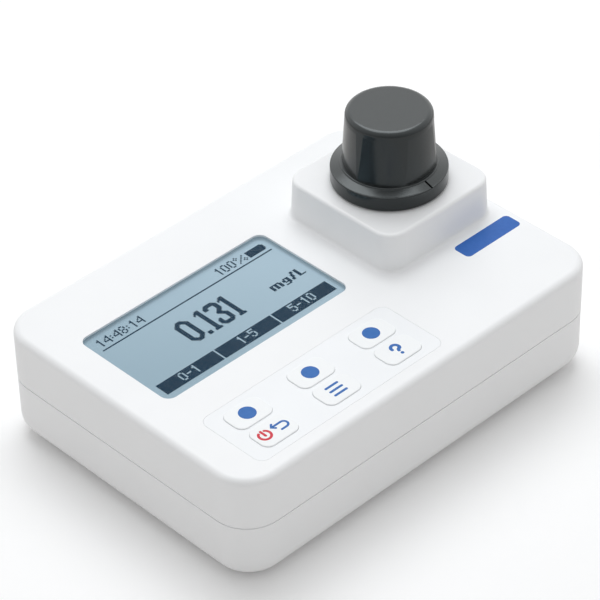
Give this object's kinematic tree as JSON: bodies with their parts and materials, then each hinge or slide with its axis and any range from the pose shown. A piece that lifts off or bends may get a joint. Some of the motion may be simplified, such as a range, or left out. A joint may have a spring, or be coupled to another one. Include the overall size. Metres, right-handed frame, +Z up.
{
  "type": "portable photometer",
  "caption": "Flat boxed photometer with a display window, a keypad and a square turret that holds a round glass cuvette under a black screw cap.",
  "frame": {"origin": "on the bench under the middle of the case", "axes": "+X along the long side towards the cuvette turret, +Y to the back, +Z up"},
  "size_m": [0.1424, 0.1024, 0.0749],
  "materials": {
    "case_white": "satin moulded plastic, fine texture",
    "panel_white": "smooth printed film",
    "key_white": "smooth embossed film",
    "window_clear": "clear polished plastic",
    "display_grey": "liquid crystal display, blue-grey",
    "light_panel": "opal plastic",
    "frame_white": "moulded plastic",
    "soft_black": "soft black rubber",
    "soft_grey": "soft grey rubber",
    "cap_black": "semi-gloss black plastic",
    "inner_black": "matt black plastic",
    "stopper_white": "waxy white plastic",
    "cuvette_glass": "clear polished glass",
    "optic_glass": "clear coated glass",
    "filter_glass": "tinted mirror-like coating",
    "board_green": "green circuit board",
    "chip_black": "matt black chip",
    "detector_can": "plain metal can",
    "lamp_clear": "clear resin",
    "contact_nickel": "nickel plated spring steel",
    "screw_steel": "plated steel",
    "cell_wrap": "plain dark wrap on a metal can"
  },
  "bodies": {
    "case": {"top_shell": "case_white", "bottom_shell": "case_white", "case_seal": "soft_grey", "display_lens": "window_clear", "lcd_glass": "display_grey", "lcd_backlight": "light_panel", "lcd_frame": "frame_white", "lcd_contact_strip": "soft_grey", "keypad_panel": "panel_white", "dome_sheet": "contact_nickel", "keypad_board": "board_green", "main_board": "board_green", "processor_chip": "chip_black", "sounder": "chip_black", "keypad_plug": "chip_black", "battery_tray": "inner_black", "cuvette_well": "inner_black", "light_ring": "soft_black", "emitter_block": "inner_black", "emitter_lid": "inner_black", "detector_block": "inner_black", "detector_lid": "inner_black", "lamp": "lamp_clear", "focus_lens": "optic_glass", "beam_splitter": "optic_glass", "colour_filter": "filter_glass", "reference_detector": "detector_can", "sample_detector": "detector_can", "lamp_board": "board_green", "detector_board": "board_green", "case_screw_front_left": "screw_steel", "foot_front_left": "soft_grey", "case_screw_front_right": "screw_steel", "foot_front_right": "soft_grey", "case_screw_back_right": "screw_steel", "foot_back_right": "soft_grey", "case_screw_back_left": "screw_steel", "foot_back_left": "soft_grey", "battery_cell_1": "cell_wrap", "battery_contact_1": "contact_nickel", "battery_spring_1": "contact_nickel", "battery_cell_2": "cell_wrap", "battery_contact_2": "contact_nickel", "battery_spring_2": "contact_nickel", "battery_cell_3": "cell_wrap", "battery_contact_3": "contact_nickel", "battery_spring_3": "contact_nickel"},
    "key_left": {"key_left": "key_white"},
    "key_middle": {"key_middle": "key_white"},
    "key_right": {"key_right": "key_white"},
    "key_power": {"key_power": "key_white"},
    "key_menu": {"key_menu": "key_white"},
    "key_help": {"key_help": "key_white"},
    "cuvette": {"cuvette": "cuvette_glass", "cuvette_stopper": "stopper_white"},
    "cap_liner": {"cap_liner": "stopper_white"},
    "cap": {"cuvette_cap": "cap_black"},
    "cover_ring": {"cover_ring": "soft_black"},
    "battery_cover": {"battery_cover": "case_white"}
  },
  "joints": [
    {"name": "key_left_press", "type": "slide", "parent": "case", "child": "key_left", "axis": [0, 0, -1], "range_m": [0, 0.0003], "stiffness_N_per_m": 2500, "springref_m": -0.0003},
    {"name": "key_middle_press", "type": "slide", "parent": "case", "child": "key_middle", "axis": [0, 0, -1], "range_m": [0, 0.0003], "stiffness_N_per_m": 2500, "springref_m": -0.0003},
    {"name": "key_right_press", "type": "slide", "parent": "case", "child": "key_right", "axis": [0, 0, -1], "range_m": [0, 0.0003], "stiffness_N_per_m": 2500, "springref_m": -0.0003},
    {"name": "key_power_press", "type": "slide", "parent": "case", "child": "key_power", "axis": [0, 0, -1], "range_m": [0, 0.0003], "stiffness_N_per_m": 2500, "springref_m": -0.0003},
    {"name": "key_menu_press", "type": "slide", "parent": "case", "child": "key_menu", "axis": [0, 0, -1], "range_m": [0, 0.0003], "stiffness_N_per_m": 2500, "springref_m": -0.0003},
    {"name": "key_help_press", "type": "slide", "parent": "case", "child": "key_help", "axis": [0, 0, -1], "range_m": [0, 0.0003], "stiffness_N_per_m": 2500, "springref_m": -0.0003},
    {"name": "cuvette_lift", "type": "slide", "parent": "case", "child": "cuvette", "axis": [0, 0, 1], "range_m": [0, 0.06]},
    {"name": "cap_rise", "type": "slide", "parent": "cuvette", "child": "cap_liner", "axis": [0, 0, 1], "range_m": [0, 0.006]},
    {"name": "cap_turn", "type": "hinge", "parent": "cap_liner", "child": "cap", "pos_m": [0.045, 0.0086, 0.074], "axis": [0, 0, 1], "range_deg": [0, 720.5]},
    {"name": "cover_drop", "type": "slide", "parent": "case", "child": "cover_ring", "axis": [0, 0, -1], "range_m": [0, 0.02]},
    {"name": "cover_turn", "type": "hinge", "parent": "cover_ring", "child": "battery_cover", "pos_m": [-0.0244, 0, 0.0035], "axis": [0, 0, -1], "range_deg": [0, 45]}
  ],
  "couplings": [
    {"joint": "cap_turn", "follows": "cap_rise", "rad_per_m": 2094.4}
  ]
}
